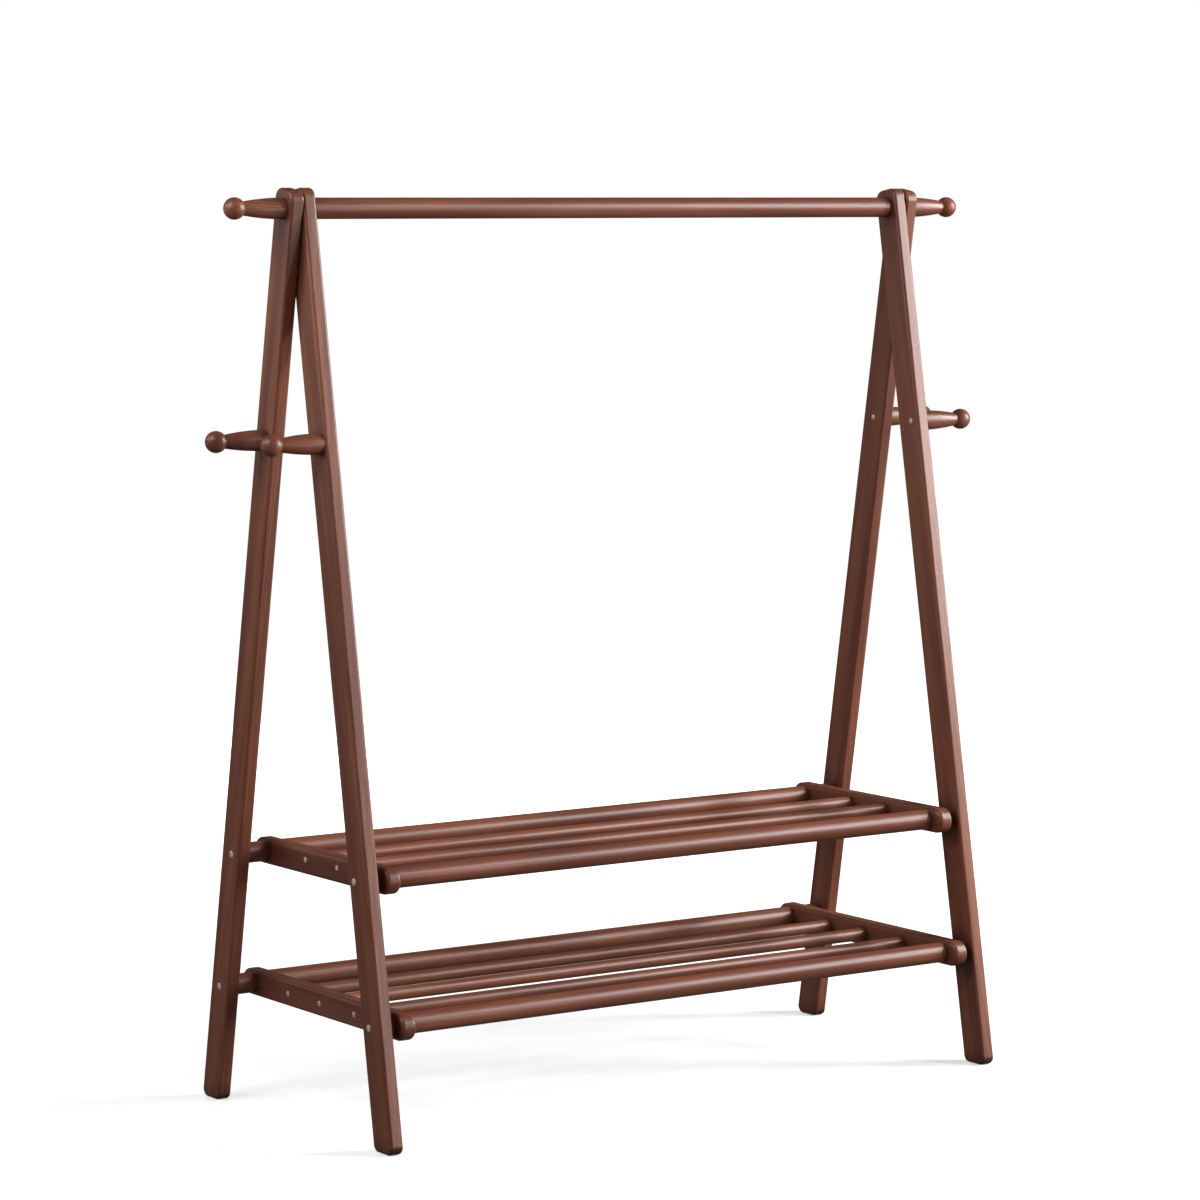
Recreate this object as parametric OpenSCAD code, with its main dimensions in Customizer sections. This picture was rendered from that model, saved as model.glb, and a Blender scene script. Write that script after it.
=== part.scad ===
// Clothes rack: two A-frames of crossed legs, a hanging rail with turned end pegs,
// four side pegs and two slatted shelves. Millimetres, +Z up, origin on the floor
// under the middle of the rail, rail along X, front towards -Y.

/* [Frame] */
// Height of the hanging rail's axis above the floor
rail_h = 1370; // [1200:10:1600]
// Width of the rack across the outer faces of the outer legs
frame_w = 1176; // [900:4:1400]
// Distance along Y between the feet's centre lines on the floor
foot_spread = 474; // [420:2:560]

/* [Legs] */
// Width of a leg across its side face
leg_w = 51; // [44:1:60]
// Thickness of a leg along X
leg_t = 22; // [18:1:30]
// How far a leg's end stands past the rail's axis
leg_top = 29; // [24:1:40]
// Corner radius of a leg's top end
leg_top_r = 16; // [8:1:20]
// Corner radius of a leg's foot
leg_foot_r = 13; // [8:1:18]
// Rounding of a leg's long edges
leg_edge_r = 4.5; // [2:0.5:7]

/* [Rail and pegs] */
// Diameter of the hanging rail
rail_d = 32; // [28:1:36]
// Diameter of a peg's ball
ball_d = 33; // [30:1:40]
// Flat left on the ball's end by the lathe, as a depth
ball_flat = 0.7; // [0.2:0.1:1.5]
// Distance from a peg's base to the middle of its ball
peg_reach = 81; // [60:1:110]
// Diameter of a peg at its base
peg_base_d = 32; // [28:1:36]
// Diameter of a peg at its neck, behind the ball
peg_neck_d = 20.5; // [16:0.5:24]
// Height of the side pegs above the floor
side_peg_h = 1025; // [850:5:1150]
// How far the front side pegs sit ahead of their legs' centre lines
front_peg_out = 7; // [0:1:9]

/* [Shelves] */
// Height of the upper shelf's outer bars above the floor
upper_shelf_h = 388.5; // [340:0.5:460]
// Height of the lower shelf's bars above the floor
lower_shelf_h = 179; // [130:1:230]
// Diameter of the front and rear bars
outer_bar_d = 32; // [28:1:34]
// Diameter of the middle bars
mid_bar_d = 20.5; // [16:0.5:26]
// How far the upper shelf's outer bars sit inside the legs' centre lines
upper_inset = 4; // [0:1:8]
// How far the lower shelf's outer bars sit inside the legs' centre lines
lower_inset = 0; // [0:1:8]
// How much further inside the front bars sit than the rear ones
front_inset = 7; // [0:1:8]
// Distance between the middle bars of the upper shelf
upper_mid_pitch = 92; // [70:1:110]
// Distance between the middle bars of the lower shelf
lower_mid_pitch = 97; // [70:1:110]
// How far the upper shelf's middle bars sit in front of the middle plane
upper_mid_shift = 5.5; // [0:0.5:8]
// How far the lower shelf's middle bars sit in front of the middle plane
lower_mid_shift = 2; // [0:0.5:8]
// How far the lower shelf's centre bar sits behind the middle of its neighbours
centre_bar_shift = 4; // [0:0.5:6]
// How far the upper shelf's middle bars sit above its outer bars
upper_mid_rise = 3; // [0:0.5:3]

/* [End rails] */
// Height of an end rail
end_rail_h = 40; // [39:1:52]
// Thickness of an end rail along X
end_rail_t = 25; // [18:1:28]
// Gap between an end rail and the inner face of the front leg
end_rail_gap = 13; // [8:1:30]
// How far the middle of an end rail's nose lies past the outer bars
nose_past = 14.5; // [4:0.5:18]
// Rounding of an end rail's edges
end_rail_edge_r = 6; // [2:0.5:6]
// Depth of the sockets that hold the middle bars
socket_depth = 12; // [8:1:14]

/* [Fasteners] */
// Diameter of the pivot studs
stud_d = 8; // [6:1:10]
// Depth of a pivot stud in the rail and in an end peg
stud_depth = 26; // [20:1:32]
// Outer diameter of the insert nuts on the pivot studs
stud_nut_d = 12; // [11:1:14]
// Length of the insert nuts on the pivot studs
stud_nut_l = 18; // [10:1:20]
// Diameter of the shelf bolts
bolt_d = 6; // [5:1:8]
// Head diameter of the shelf bolts
bolt_head_d = 11; // [10:0.5:13]
// Head height of the shelf bolts
bolt_head_h = 3; // [2:0.5:4]
// Length of the shelf bolts
bolt_l = 48; // [40:1:60]
// Width across the flats of the bolts' hexagon socket
bolt_key = 4; // [3:0.5:5]
// Outer diameter of the insert nuts in the bars
bar_nut_d = 10; // [9:0.5:12]
// Length of the insert nuts in the bars
bar_nut_l = 16; // [10:1:20]
// Diameter of the wood screws
screw_d = 4; // [3:0.5:5]
// Head diameter of the wood screws
screw_head_d = 8.5; // [7:0.5:10]
// Head height of the wood screws
screw_head_h = 2.6; // [2:0.1:3.5]
// Length of the side peg screws
peg_screw_l = 50; // [40:1:60]
// Length of the end rail screws
rail_screw_l = 38; // [30:1:50]

/* [Fits] */
// Clearance all round a bar, nut or fastener in its hole
fit = 0.1; // [0.05:0.01:0.2]
// How far the screw and bolt heads lie below the wood's surface
head_sink = 0.2; // [0:0.1:0.5]

/* [Hidden] */

$fn = 64;
// Overshoot of a cut past the face it opens
over = 1;
// How far the roundings at a leg's ends start outside its faces, so that they run out in them
runout = 0.05;
// Edge rounding round the corners of a leg's outline, a little tighter than along its sides
corner_edge_r = leg_edge_r - 0.5;

// Lean of the legs from the vertical: their centre lines cross on the rail's axis
lean = atan2(foot_spread / 2, rail_h);
// Distance of a leg's centre line from the middle plane at height z
function leg_y(z) = foot_spread / 2 * (1 - z / rail_h);

// Planes along X, for one side: outer leg's outer face, joint face of the two legs,
// inner leg's inner face, end rail's outer and inner faces
x_outer = frame_w / 2;
x_joint = x_outer - leg_t;
x_inner = x_joint - leg_t;
x_end_rail = x_inner - end_rail_gap;
x_end_rail_in = x_end_rail - end_rail_t;

// Places along Y of each shelf's outer bars and of the side pegs, front and rear
function bar_ys(h, inset) = [inset + front_inset - leg_y(h), leg_y(h) - inset];
upper_bar_ys = bar_ys(upper_shelf_h, upper_inset);
lower_bar_ys = bar_ys(lower_shelf_h, lower_inset);
side_peg_ys = [-leg_y(side_peg_h) - front_peg_out, leg_y(side_peg_h)];
front = 0;
rear = 1;

walnut = [0.42, 0.28, 0.23];
dark_walnut = [0.36, 0.23, 0.19];
nickel = [0.75, 0.73, 0.70];
zinc = [0.66, 0.67, 0.68];

// Mirrors a piece of the left side to the right side
module right_side() {
    mirror([1, 0, 0]) children();
}

// Lays a flat board drawn in XY on the YZ plane, with its thickness along +X
module upright() {
    rotate([90, 0, 90]) children();
}

// A rod along +X that starts at x = 0
module rod(d, l) {
    rotate([0, 90, 0]) cylinder(d = d, h = l);
}

// A rectangle from the origin, w by h, with rounded corners
module rounded_rectangle(w, h, r) {
    translate([r, 0]) square([w - 2 * r, h]);
    translate([0, r]) square([w, h - 2 * r]);
    for (x = [r, w - r], y = [r, h - r]) translate([x, y]) circle(r);
}

// A disc on the XY plane with rounded edges, or the sector of it from angle 0 to angle
module rounded_disc(radius, t, r, angle = 360) {
    rotate_extrude(angle = angle) intersection() {
        translate([-radius, 0]) rounded_rectangle(2 * radius, t, r);
        square([radius, t]);
    }
}

// What a leg loses at a corner of its outline, about the corner circle's centre: the wedge
// between the outward directions a and b, in degrees from +Y towards +Z, outside the circle
module corner_cut(radius, a, b) {
    function out(angle, reach) = reach * [cos(angle), sin(angle)];
    translate([-runout, 0, 0]) upright() difference() {
        translate([0, 0, -over]) linear_extrude(leg_t + 2 * over)
            polygon([[0, 0], out(a, 2 * radius), out((a + b) / 2, 3 * radius), out(b, 2 * radius)]);
        rounded_disc(radius, leg_t + 2 * runout, corner_edge_r);
    }
}

// A wall on the floor along Y, from x = 0 to x = leg_t, with its edges along Y rounded
module rounded_wall(length, height) {
    translate([-runout, length / 2, 0]) rotate([90, 0, 0]) linear_extrude(length)
        rounded_rectangle(leg_t + 2 * runout, height, leg_edge_r);
}

// A leg without its holes, from x = 0 to x = leg_t. Its foot is cut level with the floor and
// stands on the +Y side for side = 1 and on the -Y side for side = -1
module leg_blank(side) {
    tilt = side * lean;
    top = rail_h / cos(lean) + leg_top;
    tall = top + 2 * leg_w;
    foot_z = leg_foot_r - runout;
    module leaning() {
        translate([0, side * foot_spread / 2, 0]) rotate([tilt, 0, 0]) children();
    }
    difference() {
        intersection() {
            leaning() translate([0, -leg_w / 2, -leg_w]) linear_extrude(tall)
                rounded_rectangle(leg_t, leg_w, leg_edge_r);
            leaning() translate([0, 0, top - tall]) rounded_wall(2 * leg_w, tall);
            rounded_wall(2 * foot_spread, tall);
        }
        for (edge = [-1, 1]) {
            leaning()
                translate([0, edge * (leg_w / 2 - leg_top_r + runout), top - leg_top_r + runout])
                corner_cut(leg_top_r, 90, 90 - 90 * edge);
            foot_y = edge * (leg_w / 2 - leg_foot_r + runout) / cos(lean);
            translate([0, side * leg_y(foot_z) + foot_y, foot_z])
                corner_cut(leg_foot_r, -90, tilt + 90 * (edge - 1));
        }
    }
}

// The hole of a countersunk fastener that goes in along +X from x = 0
module countersunk_hole(d, head_d, head_h, l) {
    translate([-over, 0, 0]) rod(d + 2 * fit, l + over);
    translate([-over, 0, 0]) rod(head_d + 2 * fit, over + head_sink);
    translate([head_sink, 0, 0]) rotate([0, 90, 0])
        cylinder(d1 = head_d + 2 * fit, d2 = d + 2 * fit, h = head_h);
}

// Holes for both shelves' bolts in a front or rear leg, from its outer face at x
module leg_bolt_holes(x, which) {
    for (at = [[upper_bar_ys[which], upper_shelf_h], [lower_bar_ys[which], lower_shelf_h]])
        translate([x, at[0], at[1]])
            countersunk_hole(bolt_d, bolt_head_d, bolt_head_h, leg_t + over);
}

// Hole for the side peg's screw in a front or rear leg, from its inner face at x
module leg_peg_hole(x, which) {
    translate([x, side_peg_ys[which], side_peg_h]) mirror([1, 0, 0])
        countersunk_hole(screw_d, screw_head_d, screw_head_h, leg_t + over);
}

// Hole for the pivot stud through both legs of the left side
module pivot_hole() {
    translate([-x_outer - over, 0, rail_h]) rod(stud_d + 2 * fit, 2 * leg_t + 2 * over);
}

module front_leg() {
    color(walnut) difference() {
        translate([-x_joint, 0, 0]) leg_blank(-1);
        pivot_hole();
        leg_bolt_holes(-x_joint, front);
        leg_peg_hole(-x_inner, front);
    }
}

module rear_leg() {
    color(walnut) difference() {
        translate([-x_outer, 0, 0]) leg_blank(1);
        pivot_hole();
        leg_bolt_holes(-x_outer, rear);
        leg_peg_hole(-x_joint, rear);
    }
}

module front_left_leg() { front_leg(); }
module rear_left_leg() { rear_leg(); }
module front_right_leg() { right_side() front_leg(); }
module rear_right_leg() { right_side() rear_leg(); }

// Blind hole in the end of a rail, bar or end peg, along +X from x = 0: a wide part for
// the insert nut and a narrow one for the stud or bolt that runs past it
module insert_hole(nut_d, nut_l, shank_d, shank_l) {
    translate([-over, 0, 0]) rod(nut_d + 2 * fit, nut_l + over);
    rod(shank_d + 2 * fit, shank_l + over);
}

module hanging_rail() {
    color(walnut) translate([-x_inner, 0, rail_h]) difference() {
        rod(rail_d, 2 * x_inner);
        for (end = [0, 1])
            translate([end * 2 * x_inner, 0, 0]) mirror([end, 0, 0])
                insert_hole(stud_nut_d, stud_nut_l, stud_d, stud_depth);
    }
}

// Outline of a turned peg, with its axis along Y and its base at y = 0. Its side is one
// long arc that starts square to the base and runs into the ball at the neck
module peg_outline() {
    ball_r = ball_d / 2;
    neck_r = peg_neck_d / 2;
    neck_at = peg_reach - sqrt(ball_r * ball_r - neck_r * neck_r);
    drop = (peg_base_d - peg_neck_d) / 2;
    side_r = (neck_at * neck_at + drop * drop) / (2 * drop);
    intersection() {
        translate([peg_base_d / 2 - side_r, 0]) circle(side_r, $fn = 720);
        square([peg_base_d, peg_reach]);
    }
    intersection() {
        translate([0, peg_reach]) circle(ball_r, $fn = 96);
        square([ball_d, peg_reach + ball_r - ball_flat]);
    }
}

// A turned peg along -X, with its base at x = 0
module turned_peg() {
    rotate([0, -90, 0]) rotate_extrude() peg_outline();
}

module end_peg() {
    color(walnut) translate([-x_outer, 0, rail_h]) difference() {
        turned_peg();
        mirror([1, 0, 0]) insert_hole(stud_nut_d, stud_nut_l, stud_d, stud_depth);
    }
}

// A front or rear side peg on the leg face at x, with the pilot hole of its screw
module side_peg(x, which) {
    color(walnut) translate([x, side_peg_ys[which], side_peg_h]) difference() {
        turned_peg();
        translate([over, 0, 0]) mirror([1, 0, 0])
            rod(screw_d + 2 * fit, peg_screw_l - leg_t + 2 * over);
    }
}

module left_end_peg() { end_peg(); }
module right_end_peg() { right_side() end_peg(); }
module front_left_peg() { side_peg(-x_joint, front); }
module rear_left_peg() { side_peg(-x_outer, rear); }
module front_right_peg() { right_side() front_left_peg(); }
module rear_right_peg() { right_side() rear_left_peg(); }

// Places of a shelf's middle bars, pitch apart and moved forward by shift, from front to rear
function row(count, pitch, shift) = [for (i = [0 : count - 1]) (i - (count - 1) / 2) * pitch - shift];

// Board of an end rail along Y, from x = 0, with a round nose about y = -reach and y = reach
module nosed_board(reach) {
    nose_r = end_rail_h / 2;
    translate([0, reach, -nose_r]) rotate([90, 0, 0]) linear_extrude(2 * reach)
        rounded_rectangle(end_rail_t, end_rail_h, end_rail_edge_r);
    for (end = [0, 1]) mirror([0, end, 0]) translate([0, reach, 0])
        upright() rotate([0, 0, -90]) rounded_disc(nose_r, end_rail_t, end_rail_edge_r, 180);
}

// End rail of a shelf on the left side: a board with round noses, through which the outer
// bars pass, with blind sockets for the middle bars on its inner face
module end_rail(h, outer_ys, mid_ys, mid_rise) {
    color(dark_walnut) translate([-x_end_rail, 0, h]) difference() {
        nosed_board((outer_ys[rear] - outer_ys[front]) / 2 + nose_past);
        for (y = outer_ys)
            translate([-over, y, 0]) rod(outer_bar_d + 2 * fit, end_rail_t + 2 * over);
        for (y = mid_ys) translate([0, y, mid_rise]) {
            countersunk_hole(screw_d, screw_head_d, screw_head_h, end_rail_t);
            translate([end_rail_t - socket_depth, 0, 0])
                rod(mid_bar_d + 2 * fit, socket_depth + over);
        }
    }
}

upper_mid_ys = row(2, upper_mid_pitch, upper_mid_shift);
lower_mid_ys = row(3, lower_mid_pitch, lower_mid_shift) + [0, centre_bar_shift, 0];
upper_mid_h = upper_shelf_h + upper_mid_rise;

module upper_left_end_rail() { end_rail(upper_shelf_h, upper_bar_ys, upper_mid_ys, upper_mid_rise); }
module upper_right_end_rail() { right_side() upper_left_end_rail(); }
module lower_left_end_rail() { end_rail(lower_shelf_h, lower_bar_ys, lower_mid_ys, 0); }
module lower_right_end_rail() { right_side() lower_left_end_rail(); }

// An outer shelf bar between two leg faces at -x and x, with an insert nut's hole in each end
module outer_bar(x, y, h) {
    color(walnut) translate([-x, y, h]) difference() {
        rod(outer_bar_d, 2 * x);
        for (end = [0, 1])
            translate([end * 2 * x, 0, 0]) mirror([end, 0, 0])
                insert_hole(bar_nut_d, bar_nut_l, bolt_d, bolt_l - leg_t);
    }
}

// A middle bar between the sockets' floors, with a pilot hole in each end
module mid_bar(y, h) {
    x = x_end_rail_in + socket_depth - fit;
    pilot = rail_screw_l - (x_end_rail - x);
    color(walnut) translate([-x, y, h]) difference() {
        rod(mid_bar_d, 2 * x);
        for (end = [0, 1])
            translate([end * 2 * x, 0, 0]) mirror([end, 0, 0])
                translate([-over, 0, 0]) rod(screw_d + 2 * fit, pilot + 2 * over);
    }
}

module upper_front_bar() { outer_bar(x_inner, upper_bar_ys[front], upper_shelf_h); }
module upper_rear_bar() { outer_bar(x_joint, upper_bar_ys[rear], upper_shelf_h); }
module upper_mid_bar_front() { mid_bar(upper_mid_ys[0], upper_mid_h); }
module upper_mid_bar_rear() { mid_bar(upper_mid_ys[1], upper_mid_h); }
module lower_front_bar() { outer_bar(x_inner, lower_bar_ys[front], lower_shelf_h); }
module lower_rear_bar() { outer_bar(x_joint, lower_bar_ys[rear], lower_shelf_h); }
module lower_mid_bar_front() { mid_bar(lower_mid_ys[0], lower_shelf_h); }
module lower_mid_bar_centre() { mid_bar(lower_mid_ys[1], lower_shelf_h); }
module lower_mid_bar_rear() { mid_bar(lower_mid_ys[2], lower_shelf_h); }

// Draws its children on the left side and, mirrored, on the right side
module both_sides() {
    children();
    right_side() children();
}

// Insert nut along +X from x = 0
module insert_nut(d, l, bore_d) {
    difference() {
        rod(d, l);
        translate([-over, 0, 0]) rod(bore_d + 2 * fit, l + 2 * over);
    }
}

// Countersunk bolt along +X with its head's face at x = head_sink and a hexagon socket
module countersunk_bolt() {
    key_d = bolt_key / cos(30);
    translate([head_sink, 0, 0]) difference() {
        union() {
            rotate([0, 90, 0]) cylinder(d1 = bolt_head_d, d2 = bolt_d, h = bolt_head_h);
            rod(bolt_d, bolt_l - head_sink);
        }
        translate([-over, 0, 0]) rotate([0, 90, 0])
            cylinder(d = key_d, h = bolt_head_h * 0.8 + over, $fn = 6);
    }
}

// Countersunk wood screw of length l along +X, with a cross recess and a pointed end
module wood_screw(l) {
    point_l = 2 * screw_d;
    slot_w = screw_head_d / 8;
    slot_l = screw_head_d * 0.55;
    slot_depth = screw_head_h * 0.5;
    translate([head_sink, 0, 0]) difference() {
        rotate([0, 90, 0]) {
            cylinder(d1 = screw_head_d, d2 = screw_d, h = screw_head_h);
            cylinder(d = screw_d, h = l - point_l - head_sink);
            translate([0, 0, l - point_l - head_sink])
                cylinder(d1 = screw_d, d2 = screw_d / 8, h = point_l);
        }
        for (turn = [0, 90]) rotate([turn, 0, 0])
            translate([-over, -slot_w / 2, -slot_l / 2]) cube([slot_depth + over, slot_w, slot_l]);
    }
}

module pivot_studs() {
    color(zinc) both_sides() translate([-x_outer - stud_depth, 0, rail_h])
        rod(stud_d, 2 * stud_depth + 2 * leg_t);
}

module rail_insert_nuts() {
    color(zinc) both_sides() translate([-x_inner, 0, rail_h])
        insert_nut(stud_nut_d, stud_nut_l, stud_d);
}

module end_peg_insert_nuts() {
    color(zinc) both_sides() translate([-x_outer - stud_nut_l, 0, rail_h])
        insert_nut(stud_nut_d, stud_nut_l, stud_d);
}

module side_peg_screws() {
    color(nickel) both_sides() {
        translate([-x_inner, side_peg_ys[front], side_peg_h])
            mirror([1, 0, 0]) wood_screw(peg_screw_l);
        translate([-x_joint, side_peg_ys[rear], side_peg_h])
            mirror([1, 0, 0]) wood_screw(peg_screw_l);
    }
}

// The four bolts of a shelf, from the outer faces of the legs into its outer bars
module shelf_bolts(bar_ys, h) {
    color(nickel) both_sides() {
        translate([-x_joint, bar_ys[front], h]) countersunk_bolt();
        translate([-x_outer, bar_ys[rear], h]) countersunk_bolt();
    }
}

// The insert nuts in the ends of a shelf's outer bars
module bar_insert_nuts(bar_ys, h) {
    color(zinc) both_sides() {
        translate([-x_inner, bar_ys[front], h]) insert_nut(bar_nut_d, bar_nut_l, bolt_d);
        translate([-x_joint, bar_ys[rear], h]) insert_nut(bar_nut_d, bar_nut_l, bolt_d);
    }
}

// The screws through a shelf's end rails into its middle bars
module end_rail_screws(mid_ys, h) {
    color(nickel) both_sides()
        for (y = mid_ys) translate([-x_end_rail, y, h]) wood_screw(rail_screw_l);
}

module upper_shelf_bolts() { shelf_bolts(upper_bar_ys, upper_shelf_h); }
module lower_shelf_bolts() { shelf_bolts(lower_bar_ys, lower_shelf_h); }
module upper_bar_insert_nuts() { bar_insert_nuts(upper_bar_ys, upper_shelf_h); }
module lower_bar_insert_nuts() { bar_insert_nuts(lower_bar_ys, lower_shelf_h); }
module upper_end_rail_screws() { end_rail_screws(upper_mid_ys, upper_mid_h); }
module lower_end_rail_screws() { end_rail_screws(lower_mid_ys, lower_shelf_h); }

front_left_leg();
rear_left_leg();
front_right_leg();
rear_right_leg();
hanging_rail();
left_end_peg();
right_end_peg();
front_left_peg();
rear_left_peg();
front_right_peg();
rear_right_peg();
upper_left_end_rail();
upper_right_end_rail();
lower_left_end_rail();
lower_right_end_rail();
upper_front_bar();
upper_rear_bar();
upper_mid_bar_front();
upper_mid_bar_rear();
lower_front_bar();
lower_rear_bar();
lower_mid_bar_front();
lower_mid_bar_centre();
lower_mid_bar_rear();
pivot_studs();
rail_insert_nuts();
end_peg_insert_nuts();
side_peg_screws();
upper_shelf_bolts();
lower_shelf_bolts();
upper_bar_insert_nuts();
lower_bar_insert_nuts();
upper_end_rail_screws();
lower_end_rail_screws();
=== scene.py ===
import math

import bmesh
import bpy
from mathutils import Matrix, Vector


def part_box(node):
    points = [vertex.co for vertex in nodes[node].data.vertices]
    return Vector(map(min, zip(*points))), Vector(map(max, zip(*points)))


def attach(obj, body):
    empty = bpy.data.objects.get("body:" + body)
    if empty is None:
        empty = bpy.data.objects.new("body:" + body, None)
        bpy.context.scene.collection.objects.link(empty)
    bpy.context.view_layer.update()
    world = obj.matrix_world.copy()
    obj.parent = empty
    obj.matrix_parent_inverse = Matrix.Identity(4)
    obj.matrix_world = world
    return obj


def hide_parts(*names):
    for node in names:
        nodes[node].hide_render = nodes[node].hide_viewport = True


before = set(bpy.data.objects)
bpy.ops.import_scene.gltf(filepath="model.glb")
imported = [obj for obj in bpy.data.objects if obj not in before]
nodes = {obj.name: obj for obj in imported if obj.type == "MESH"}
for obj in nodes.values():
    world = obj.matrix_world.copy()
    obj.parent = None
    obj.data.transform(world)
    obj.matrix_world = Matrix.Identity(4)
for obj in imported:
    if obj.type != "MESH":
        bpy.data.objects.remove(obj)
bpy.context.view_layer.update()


# The four legs are flat boards of reddish walnut-brown wood, with rounded edges and level feet.
# They cross in pairs on the rail's axis, so the grain of each leans with its board. The satin
# stain lets the rings and pores show and is rubbed paler on the edges. The corners and narrow
# gaps are darkened with painted shade.
def stain(red, green, blue):
    """A colour given as it looks on a screen, 0 to 255, as the shader's linear one."""
    shares = [c / 255 for c in (red, green, blue)]
    return [s / 12.92 if s < 0.04045 else ((s + 0.055) / 1.055) ** 2.4 for s in shares] + [1.0]


class Nodes:
    """Short ways to add and join the nodes of one tree."""

    def __init__(self, tree):
        self.tree = tree

    def add(self, kind, **settings):
        node = self.tree.nodes.new(kind)
        for name, value in settings.items():
            setattr(node, name, value)
        return node

    def feed(self, socket, source):
        if isinstance(source, bpy.types.NodeSocket):
            self.tree.links.new(source, socket)
        else:
            socket.default_value = source

    def math(self, operation, a, b=0.0):
        node = self.add("ShaderNodeMath", operation=operation)
        self.feed(node.inputs[0], a)
        self.feed(node.inputs[1], b)
        return node.outputs[0]

    def noise(self, place, stretch, scale, detail=2.0, roughness=0.5):
        """Noise drawn out along X by stretch, with scale patches to the metre across it."""
        longer = self.add("ShaderNodeVectorMath", operation="MULTIPLY")
        self.feed(longer.inputs[0], place)
        longer.inputs[1].default_value = (1 / stretch, 1, 1)
        node = self.add("ShaderNodeTexNoise")
        self.feed(node.inputs["Vector"], longer.outputs[0])
        node.inputs["Scale"].default_value = scale
        node.inputs["Detail"].default_value = detail
        node.inputs["Roughness"].default_value = roughness
        return node.outputs["Fac"]

    def ramp(self, value, low, high, out_low=0.0, out_high=1.0):
        """A smooth step from out_low, where value is low, to out_high, where it is high."""
        node = self.add("ShaderNodeMapRange", interpolation_type="SMOOTHSTEP")
        for name, source in zip(("Value", "From Min", "From Max", "To Min", "To Max"),
                                (value, low, high, out_low, out_high)):
            self.feed(node.inputs[name], source)
        return node.outputs["Result"]

    def mix(self, share, a, b):
        node = self.add("ShaderNodeMix", data_type="RGBA")
        self.feed(node.inputs["Factor"], share)
        self.feed(node.inputs["A"], a)
        self.feed(node.inputs["B"], b)
        return node.outputs["Result"]

    def relief(self, height, strength, depth):
        """The normal of a surface that rises by depth where height is 1."""
        node = self.add("ShaderNodeBump")
        node.inputs["Strength"].default_value = strength
        node.inputs["Distance"].default_value = depth
        self.feed(node.inputs["Height"], height)
        return node.outputs[0]


def new_material(name):
    """An empty material, the short ways to its nodes, and its shader."""
    material = bpy.data.materials.new(name)
    material.use_nodes = True
    return material, Nodes(material.node_tree), material.node_tree.nodes["Principled BSDF"]


def new_group(name, inputs, outputs):
    """An empty node group with the named sockets, and its two end nodes."""
    group = bpy.data.node_groups.new(name, "ShaderNodeTree")
    for label, kind in inputs:
        group.interface.new_socket(label, in_out="INPUT", socket_type=kind)
    for label, kind in outputs:
        group.interface.new_socket(label, in_out="OUTPUT", socket_type=kind)
    tree = Nodes(group)
    return tree, tree.add("NodeGroupInput"), tree.add("NodeGroupOutput")


RING_PITCH = 0.0034
RING_WANDER = 0.011
SATIN_ROUGHNESS = 0.38
PALE_BAND = stain(162, 98, 72)
DARK_BAND = stain(115, 63, 46)
DARK_STREAK = stain(92, 46, 32)
WARM_CLOUD = stain(149, 83, 58)
LATE_WOOD = stain(92, 47, 34)
FIBRE_LINE = stain(102, 55, 40)
OPEN_PORE = stain(58, 28, 20)


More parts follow.
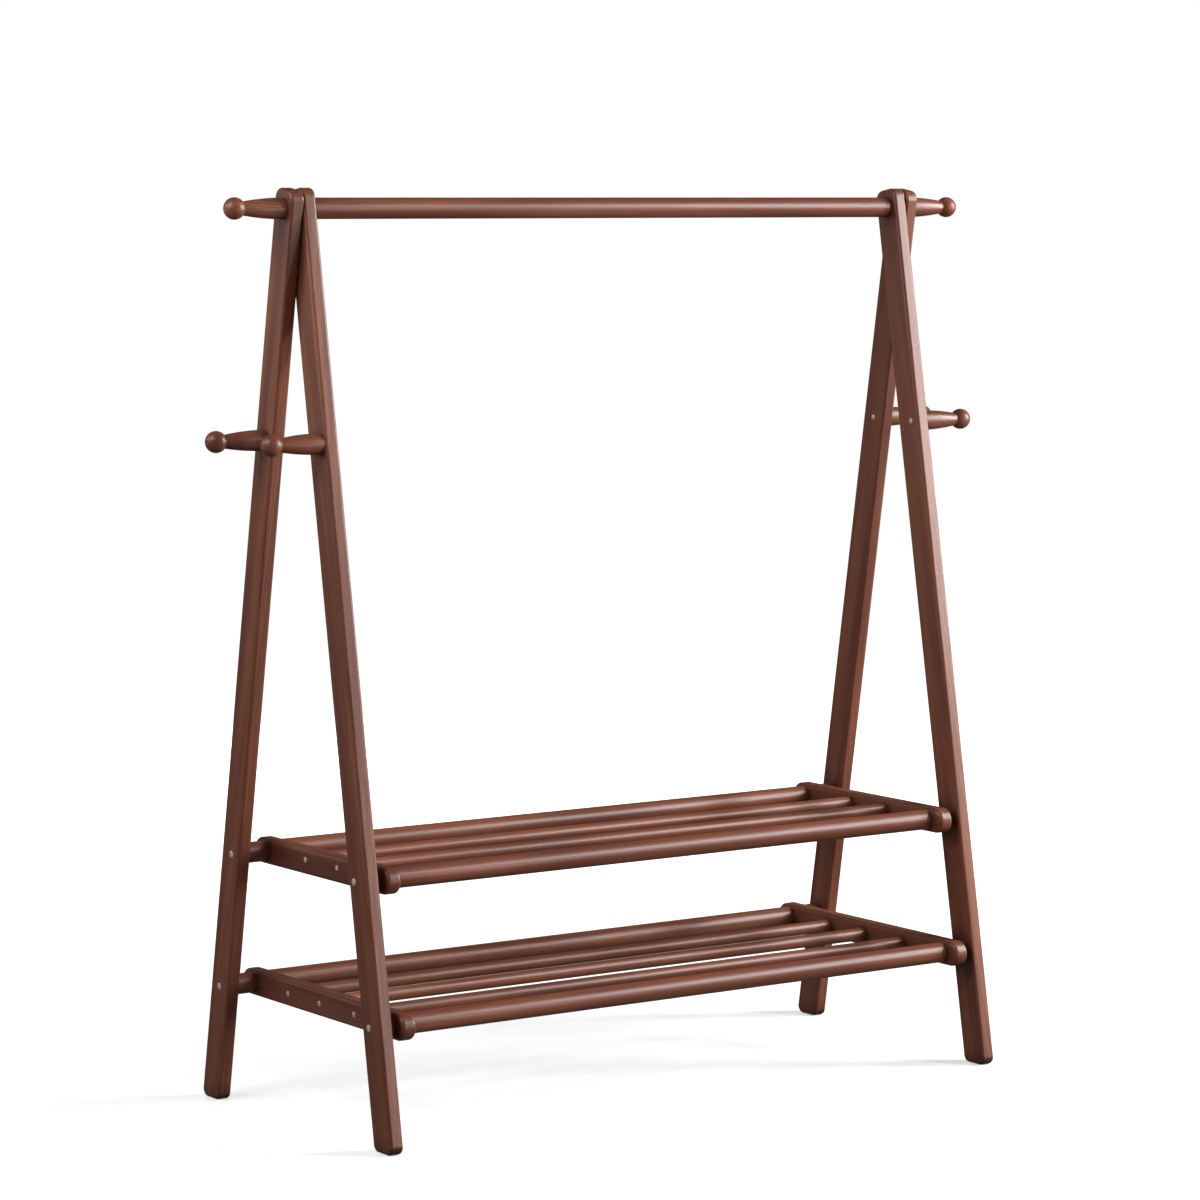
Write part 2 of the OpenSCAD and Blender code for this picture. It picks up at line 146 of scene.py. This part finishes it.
def wood_grain_group():
    """Stained wood with its grain along X: growth rings, fibres, open pores and broad bands."""
    tree, given, made = new_group(
        "wood_grain",
        [("Place", "NodeSocketVector")],
        [("Color", "NodeSocketColor"), ("Roughness", "NodeSocketFloat"),
         ("Height", "NodeSocketFloat")])
    place = given.outputs["Place"]
    wander = tree.math("MULTIPLY", tree.noise(place, stretch=14, scale=9), RING_WANDER)
    apart = tree.add("ShaderNodeSeparateXYZ")
    tree.feed(apart.inputs[0], place)
    across = tree.add("ShaderNodeCombineXYZ")
    tree.feed(across.inputs["Y"], tree.math("ADD", apart.outputs["Y"], wander))
    tree.feed(across.inputs["Z"], tree.math("SUBTRACT", apart.outputs["Z"], wander))
    from_pith = tree.add("ShaderNodeVectorMath", operation="LENGTH")
    tree.feed(from_pith.inputs[0], across.outputs[0])
    year = tree.math("FRACT", tree.math("DIVIDE", from_pith.outputs["Value"], RING_PITCH))
    late_wood = tree.math("MULTIPLY", tree.ramp(year, 0.25, 0.88), tree.ramp(year, 1.0, 0.9))
    ring_strength = tree.ramp(tree.noise(place, stretch=10, scale=26, detail=1), 0.35, 0.7, 0.25, 1.0)
    rings = tree.math("MULTIPLY", late_wood, ring_strength)
    bands = tree.noise(place, stretch=16, scale=34)
    streaks = tree.ramp(tree.noise(place, stretch=30, scale=150), 0.46, 0.72)
    clouds = tree.ramp(tree.noise(place, stretch=3, scale=9), 0.3, 0.7)
    fibres = tree.noise(place, stretch=60, scale=900, detail=3, roughness=0.6)
    pores = tree.ramp(tree.noise(place, stretch=34, scale=1500, detail=1), 0.64, 0.74)
    pores = tree.math("MULTIPLY", pores, tree.ramp(fibres, 0.35, 0.6))

    colour = tree.mix(tree.ramp(bands, 0.32, 0.68), DARK_BAND, PALE_BAND)
    for mark, share, tint in ((streaks, 0.45, DARK_STREAK), (clouds, 0.3, WARM_CLOUD),
                              (rings, 0.5, LATE_WOOD)):
        colour = tree.mix(tree.math("MULTIPLY", mark, share), colour, tint)
    colour = tree.mix(tree.ramp(fibres, 0.3, 0.7, 0.0, 0.34), colour, FIBRE_LINE)
    colour = tree.mix(tree.math("MULTIPLY", pores, 0.55), colour, OPEN_PORE)
    tree.feed(made.inputs["Color"], colour)
    worn = tree.math("MULTIPLY", fibres, 0.10)
    worn = tree.math("ADD", worn, tree.math("MULTIPLY", pores, 0.16))
    tree.feed(made.inputs["Roughness"], tree.math("ADD", worn, SATIN_ROUGHNESS))
    height = tree.math("MULTIPLY", rings, 0.25)
    height = tree.math("ADD", height, tree.math("MULTIPLY", fibres, 0.35))
    height = tree.math("SUBTRACT", height, tree.math("MULTIPLY", pores, 0.9))
    tree.feed(made.inputs["Height"], height)
    return tree.tree


def edge_wear_group():
    """A mask of the edges, where hands and cloth have rubbed the finish: 0 on the faces."""
    tree, given, made = new_group(
        "edge_wear",
        [("Place", "NodeSocketVector"), ("Width", "NodeSocketFloat")],
        [("Mask", "NodeSocketFloat")])
    rounded = tree.add("ShaderNodeBevel", samples=4)
    tree.feed(rounded.inputs["Radius"], given.outputs["Width"])
    faces = tree.add("ShaderNodeNewGeometry")
    along = tree.add("ShaderNodeVectorMath", operation="DOT_PRODUCT")
    tree.feed(along.inputs[0], rounded.outputs[0])
    tree.feed(along.inputs[1], faces.outputs["Normal"])
    edge = tree.ramp(along.outputs["Value"], 0.985, 0.9)
    patches = tree.ramp(tree.noise(given.outputs["Place"], stretch=6, scale=60, detail=3), 0.42, 0.62)
    tree.feed(made.inputs["Mask"], tree.math("MULTIPLY", edge, patches))
    return tree.tree


def painted_corner_shade_group():
    """A mask of the corners and narrow gaps, for painted shade where ambient occlusion is found: 0 in
    the open.
    """
    tree, given, made = new_group(
        "painted_corner_shade",
        [("Place", "NodeSocketVector"), ("Reach", "NodeSocketFloat")],
        [("Mask", "NodeSocketFloat")])
    nearby = tree.add("ShaderNodeAmbientOcclusion", samples=8)
    tree.feed(nearby.inputs["Distance"], given.outputs["Reach"])
    patches = tree.ramp(tree.noise(given.outputs["Place"], stretch=4, scale=40), 0.3, 0.7, 0.7, 1.0)
    covered = tree.ramp(nearby.outputs["AO"], 0.92, 0.4)
    tree.feed(made.inputs["Mask"], tree.math("MULTIPLY", covered, patches))
    return tree.tree


wood_grain = wood_grain_group()
edge_wear = edge_wear_group()
painted_corner_shade = painted_corner_shade_group()
WEAR_WIDTH = 0.002
WORN_EDGE = stain(168, 110, 82)
# Painted shade: how far the corner mask looks for nearby surfaces, and the dark brown painted there.
PAINTED_SHADE_REACH = 0.045
PAINTED_CORNER_SHADE = stain(46, 22, 15)
GRAIN_DEPTH = 0.00025


def stained_wood(name, grain, centre, pith, tone=0.0):
    """Satin stained wood. grain is the direction of the board's length, centre a point in it,
    pith how far the middle of the tree lies from it, and tone lightens or darkens the piece."""
    material, tree, shader = new_material(name)
    place = tree.add("ShaderNodeTexCoord").outputs["Object"]
    turned = tree.add("ShaderNodeMapping", vector_type="TEXTURE")
    tree.feed(turned.inputs["Vector"], place)
    turned.inputs["Location"].default_value = Vector(centre) + Vector(pith)
    turned.inputs["Rotation"].default_value = Vector(grain).to_track_quat("X", "Z").to_euler()
    own_place = turned.outputs[0]
    wood = tree.add("ShaderNodeGroup", node_tree=wood_grain)
    tree.feed(wood.inputs["Place"], own_place)
    wear = tree.add("ShaderNodeGroup", node_tree=edge_wear)
    tree.feed(wear.inputs["Place"], own_place)
    wear.inputs["Width"].default_value = WEAR_WIDTH
    toned = tree.add("ShaderNodeHueSaturation")
    toned.inputs["Value"].default_value = 1 + tone
    tree.feed(toned.inputs["Color"], wood.outputs["Color"])
    rubbed = tree.mix(tree.math("MULTIPLY", wear.outputs["Mask"], 0.45),
                      toned.outputs[0], WORN_EDGE)
    # Painted shade: corners and narrow gaps are darkened in the base colour itself.
    corners = tree.add("ShaderNodeGroup", node_tree=painted_corner_shade)
    tree.feed(corners.inputs["Place"], own_place)
    corners.inputs["Reach"].default_value = PAINTED_SHADE_REACH
    darkened = tree.mix(tree.math("MULTIPLY", corners.outputs["Mask"], 0.85),
                        rubbed, PAINTED_CORNER_SHADE)
    tree.feed(shader.inputs["Base Color"], darkened)
    tree.feed(shader.inputs["Roughness"], wood.outputs["Roughness"])
    shader.inputs["Specular IOR Level"].default_value = 0.4
    shader.inputs["Coat Weight"].default_value = 0.5
    shader.inputs["Coat Roughness"].default_value = 0.3
    tree.feed(shader.inputs["Normal"], tree.relief(wood.outputs["Height"], 0.35, GRAIN_DEPTH))
    return material


def finish(node, material):
    """Gives a piece of the frame its material."""
    slots = nodes[node].material_slots
    for slot in slots:
        slot.material = material
    if not slots:
        nodes[node].data.materials.append(material)


def middle(node):
    """The middle of a piece of the frame."""
    low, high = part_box(node)
    return (low + high) / 2


for node, lean, pith, tone in (
    ("front_left_leg", 1, (0.012, 0.05, 0), 0.0),
    ("rear_left_leg", -1, (-0.035, 0.03, 0), -0.03),
    ("front_right_leg", 1, (0.02, -0.06, 0), 0.03),
    ("rear_right_leg", -1, (0.04, 0.045, 0), -0.02),
):
    low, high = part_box(node)
    run = high - low
    board = (0, lean * run.y, run.z)
    finish(node, stained_wood(f"wood_{node}", board, middle(node), pith, tone))


# The hanging rail is one straight turned rod between the A-frames. The end pegs carry on its
# line outside them, and the four side pegs stand out from the legs. All are turned from the
# same wood with the grain along them, and stained like the legs.
for node, pith, tone in (
    ("hanging_rail", (0, 0.03, 0.02), 0.03),
    ("left_end_peg", (0, -0.02, 0.03), 0.0),
    ("right_end_peg", (0, 0.03, -0.01), 0.02),
    ("front_left_peg", (0, 0.02, 0.02), 0.0),
    ("rear_left_peg", (0, -0.03, 0.01), -0.02),
    ("front_right_peg", (0, 0.01, -0.03), 0.02),
    ("rear_right_peg", (0, -0.02, -0.02), 0.0),
):
    finish(node, stained_wood(f"wood_{node}", (1, 0, 0), middle(node), pith, tone))


# The end rails are boards with round noses that carry a shelf's bars at both ends. Their grain
# runs from front to rear, and their stain is a little darker than that of the bars.
for node, pith, tone in (
    ("upper_left_end_rail", (0.03, 0, 0.02), -0.14),
    ("upper_right_end_rail", (-0.02, 0, 0.03), -0.1),
    ("lower_left_end_rail", (0.02, 0, -0.03), -0.13),
    ("lower_right_end_rail", (-0.03, 0, 0.01), -0.1),
):
    finish(node, stained_wood(f"wood_{node}", (0, 1, 0), middle(node), pith, tone))


# Round bars make the two shelves: thicker ones at the front and rear, which are bolted to the
# legs, and thinner ones between them, set into the end rails.
for node, pith, tone in (
    ("upper_front_bar", (0, 0.03, 0.01), 0.02),
    ("upper_rear_bar", (0, -0.01, 0.03), 0.0),
    ("upper_mid_bar_front", (0, 0.02, -0.02), -0.02),
    ("upper_mid_bar_rear", (0, -0.03, 0.0), 0.03),
    ("lower_front_bar", (0, 0.01, 0.03), 0.0),
    ("lower_rear_bar", (0, -0.03, 0.02), 0.02),
    ("lower_mid_bar_front", (0, 0.03, 0.0), -0.02),
    ("lower_mid_bar_centre", (0, -0.02, 0.02), 0.02),
    ("lower_mid_bar_rear", (0, 0.02, 0.03), 0.0),
):
    finish(node, stained_wood(f"wood_{node}", (1, 0, 0), middle(node), pith, tone))


# The studs and insert nuts inside the wood are zinc-plated steel, with a faint mottle and fine
# turning marks.
MARK_DEPTH = 0.0001


def plated_steel(name, colour, roughness, metallic=1.0):
    material, tree, shader = new_material(name)
    place = tree.add("ShaderNodeTexCoord").outputs["Object"]
    mottle = tree.noise(place, stretch=1, scale=700, detail=3)
    marks = tree.noise(place, stretch=0.05, scale=300)
    darker = [c * 0.72 for c in colour[:3]] + [1.0]
    tree.feed(shader.inputs["Base Color"],
              tree.mix(tree.ramp(mottle, 0.35, 0.65), darker, colour))
    shader.inputs["Metallic"].default_value = metallic
    tree.feed(shader.inputs["Roughness"],
              tree.math("ADD", tree.math("MULTIPLY", marks, 0.18), roughness))
    tree.feed(shader.inputs["Normal"], tree.relief(marks, 0.2, MARK_DEPTH))
    return material


zinc = plated_steel("zinc_plated_steel", stain(202, 205, 208), roughness=0.34)
for node in ("pivot_studs", "rail_insert_nuts", "end_peg_insert_nuts",
             "upper_bar_insert_nuts", "lower_bar_insert_nuts"):
    finish(node, zinc)


# The bolts and screws are nickel-plated steel, with raised countersunk heads that stand a little
# proud of the wood: the bolts have a hexagon socket, the wood screws a cross recess. Each is a
# closed skin through loops of points round its axis, from the tip to the bottom of the recess.
nickel = plated_steel("nickel_plated_steel", stain(250, 228, 214), roughness=0.5, metallic=0.5)
LOOP_POINTS = 24
HEAD_RISE = 0.12
RIM_SUNK = 0.0002
RIM_PROUD = 0.0001
SOCKET_R = 0.0016
CROSS_R = 0.0021
CROSS_HALF_WIDTH = 0.00042
SHARP_EDGE = math.radians(35)
BOLT_HEAD_R = 0.0055
BOLT_R = 0.003
BOLT_L = 0.048
SCREW_HEAD_R = 0.00425
SCREW_R = 0.002
PEG_SCREW_L = 0.05
RAIL_SCREW_L = 0.038


def hexagon(angle):
    """How far a hexagon socket reaches from the axis."""
    side = math.pi / 3
    return SOCKET_R / math.cos((angle + side / 2) % side - side / 2)


def cross(angle):
    """How far a cross recess reaches from the axis."""
    quarter = math.pi / 2
    off_arm = abs((angle + quarter / 2) % quarter - quarter / 2)
    if off_arm == 0:
        return CROSS_R
    return min(CROSS_R / math.cos(off_arm), CROSS_HALF_WIDTH / math.sin(off_arm))


def fastener(mesh, head_r, shank_r, length, recess, place, side):
    """Adds one bolt or screw, with its head at place and its tip towards side along X. Each loop
    has how far along the axis it lies, and how far out its points reach."""
    rise = head_r * HEAD_RISE
    loops = [
        (length, shank_r * 0.25),
        (length - 2 * shank_r, shank_r),
        (head_r - shank_r, shank_r),
        (RIM_SUNK, head_r * 0.99),
        (-RIM_PROUD, head_r * 0.97),
        (-rise * 0.5, head_r * 0.84),
        (-rise * 0.85, head_r * 0.66),
        (-rise, recess),
        (0, recess),
    ]
    rings = []
    for along, reach in loops:
        ring = bmesh.ops.create_circle(mesh, segments=LOOP_POINTS, radius=1)["verts"]
        for point in ring:
            angle = math.atan2(point.co.y, point.co.x)
            r = reach(angle) if callable(reach) else reach
            out = Vector((side * along, r * math.cos(angle), r * math.sin(angle)))
            point.co = Vector(place) + out
        rings.append(list({edge for point in ring for edge in point.link_edges}))
    for near, far in zip(rings, rings[1:]):
        bmesh.ops.bridge_loops(mesh, edges=near + far)
    bmesh.ops.holes_fill(mesh, edges=rings[0] + rings[-1], sides=LOOP_POINTS)


def fastener_set(node, seats, *shape):
    """All the fasteners of one node, at the given seats on the left and mirrored on the right.
    shape is a fastener's head_r, shank_r, length and recess."""
    mesh = bmesh.new()
    for place, side in seats:
        fastener(mesh, *shape, place, side)
        fastener(mesh, *shape, (-place[0], place[1], place[2]), -side)
    bmesh.ops.recalc_face_normals(mesh, faces=mesh.faces)
    for face in mesh.faces:
        face.smooth = True
    for edge in mesh.edges:
        edge.smooth = edge.calc_face_angle(0) < SHARP_EDGE
    data = bpy.data.meshes.new(f"raised_{node}")
    mesh.to_mesh(data)
    mesh.free()
    data.materials.append(nickel)
    piece = bpy.data.objects.new(f"raised_{node}", data)
    bpy.context.scene.collection.objects.link(piece)
    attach(piece, "root")
    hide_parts(node)


def seat(carrier, corner, held, side):
    """Where a head lies, on the held piece's axis and on the carrier's low (0) or high (1) face
    along X, and the side that its tip points to."""
    axis = middle(held)
    return (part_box(carrier)[corner].x, axis.y, axis.z), side


for shelf in ("upper", "lower"):
    fastener_set(f"{shelf}_shelf_bolts",
                 [seat("front_left_leg", 0, f"{shelf}_front_bar", 1),
                  seat("rear_left_leg", 0, f"{shelf}_rear_bar", 1)],
                 BOLT_HEAD_R, BOLT_R, BOLT_L, hexagon)
fastener_set("upper_end_rail_screws",
             [seat("upper_left_end_rail", 0, f"upper_mid_bar_{row}", 1) for row in ("front", "rear")],
             SCREW_HEAD_R, SCREW_R, RAIL_SCREW_L, cross)
fastener_set("lower_end_rail_screws",
             [seat("lower_left_end_rail", 0, f"lower_mid_bar_{row}", 1)
              for row in ("front", "centre", "rear")],
             SCREW_HEAD_R, SCREW_R, RAIL_SCREW_L, cross)
fastener_set("side_peg_screws",
             [seat(f"{row}_left_leg", 1, f"{row}_left_peg", -1) for row in ("front", "rear")],
             SCREW_HEAD_R, SCREW_R, PEG_SCREW_L, cross)


# The studio: a wide pale floor that runs out of sight in a white room, and seven soft lights, two
# on the right, two on the left, two in front and one behind. The floor and the room are dim to
# the rack, so its own colours stay.
FLOOR_WIDTH = 60
WHITE_FLOOR = (0.9, 0.9, 0.9, 1)
DIM_FLOOR = (0.05, 0.048, 0.045, 1)
GLOW_STARTS = 0.6
GLOW_FULL = 3.5
GLOW_UNDER_RACK = 0.44
MIRRORED_FLOOR = 0.06
MIRRORED_ROOM = 0.05
ROOM_LEVEL = 0.02


def floor_material():
    """White to the camera, apart from the rack's soft shadow, and nearly black to the rack. Its
    glow is weaker near the rack, where the lamps light it."""
    material, tree, shader = new_material("studio_floor")
    path = tree.add("ShaderNodeLightPath")
    seen = path.outputs["Is Camera Ray"]
    tree.feed(shader.inputs["Base Color"], tree.mix(seen, DIM_FLOOR, WHITE_FLOOR))
    shader.inputs["Roughness"].default_value = 0.9
    shader.inputs["Specular IOR Level"].default_value = 0.0
    shader.inputs["Emission Color"].default_value = (1, 1, 1, 1)
    place = tree.add("ShaderNodeTexCoord").outputs["Object"]
    away = tree.add("ShaderNodeVectorMath", operation="LENGTH")
    tree.feed(away.inputs[0], place)
    glow = tree.ramp(away.outputs["Value"], GLOW_STARTS, GLOW_FULL, GLOW_UNDER_RACK, 1.0)
    mirrored = tree.math("MULTIPLY", path.outputs["Is Glossy Ray"], MIRRORED_FLOOR)
    tree.feed(shader.inputs["Emission Strength"],
              tree.math("ADD", tree.math("MULTIPLY", seen, glow), mirrored))
    return material


bpy.ops.mesh.primitive_grid_add(size=FLOOR_WIDTH, x_subdivisions=2, y_subdivisions=2)
floor = bpy.context.object
floor.name = "studio_floor"
floor.data.materials.append(floor_material())

world = bpy.data.worlds.new("studio_room")
bpy.context.scene.world = world
world.use_nodes = True
room = Nodes(world.node_tree)
background = world.node_tree.nodes["Background"]
background.inputs["Color"].default_value = (1, 1, 1, 1)
room_path = room.add("ShaderNodeLightPath")
level = room.math("MULTIPLY", room_path.outputs["Is Glossy Ray"], MIRRORED_ROOM)
level = room.math("MAXIMUM", level, ROOM_LEVEL)
room.feed(background.inputs["Strength"],
          room.math("MAXIMUM", level, room_path.outputs["Is Camera Ray"]))

# Each lamp has the place where it stands, the point it faces, its width, its height, its power in
# watts, and whether the rack mirrors it.
for name, place, target, width, height, power, mirrored in (
    ("right_light", (3.5, -1.7, 2.1), (0.3, 0, 1.0), 0.7, 2.4, 150, True),
    ("right_front_light", (2.8, -3.1, 2.4), (0.3, 0, 1.0), 0.5, 2.2, 84, True),
    ("left_high_light", (-2.4, -0.3, 2.5), (0, 0, 0.7), 1.2, 1.2, 28, True),
    ("left_rear_light", (-3.0, 1.8, 2.0), (0, 0, 1.0), 1.5, 1.8, 29, True),
    ("low_front_light", (1.3, -3.7, 0.6), (-0.5, 0, 0.4), 0.6, 0.6, 12, True),
    ("front_light", (-1.2, -4.2, 1.6), (0, 0, 0.9), 1.6, 1.6, 35, False),
    ("rear_light", (1.4, 4.2, 1.6), (0, 0, 0.9), 1.6, 1.6, 75, False),
):
    lamp = bpy.data.lights.new(name, "AREA")
    lamp.shape = "RECTANGLE"
    lamp.size = width
    lamp.size_y = height
    lamp.energy = power
    lamp_object = bpy.data.objects.new(name, lamp)
    bpy.context.scene.collection.objects.link(lamp_object)
    towards = Vector(target) - Vector(place)
    lamp_object.location = place
    lamp_object.rotation_euler = towards.to_track_quat("-Z", "Y").to_euler()
    lamp_object.visible_glossy = mirrored

# The camera stands far off in front on the left, as high as the rail, and looks slightly down.
CAMERA_PLACE = (-3.6375, -5.2750, 1.3873)
CAMERA_TURN = math.radians(-34.435)
CAMERA_DIP = math.radians(3.939)
camera_data = bpy.data.cameras.new("camera")
camera_data.sensor_width = 36
camera_data.lens = 123.46
camera_data.shift_y = -0.1
camera = bpy.data.objects.new("camera", camera_data)
camera.location = CAMERA_PLACE
camera.rotation_euler = (math.radians(90) - CAMERA_DIP, 0, CAMERA_TURN)
bpy.context.scene.collection.objects.link(camera)
bpy.context.scene.camera = camera
bpy.context.scene.view_settings.view_transform = "Standard"
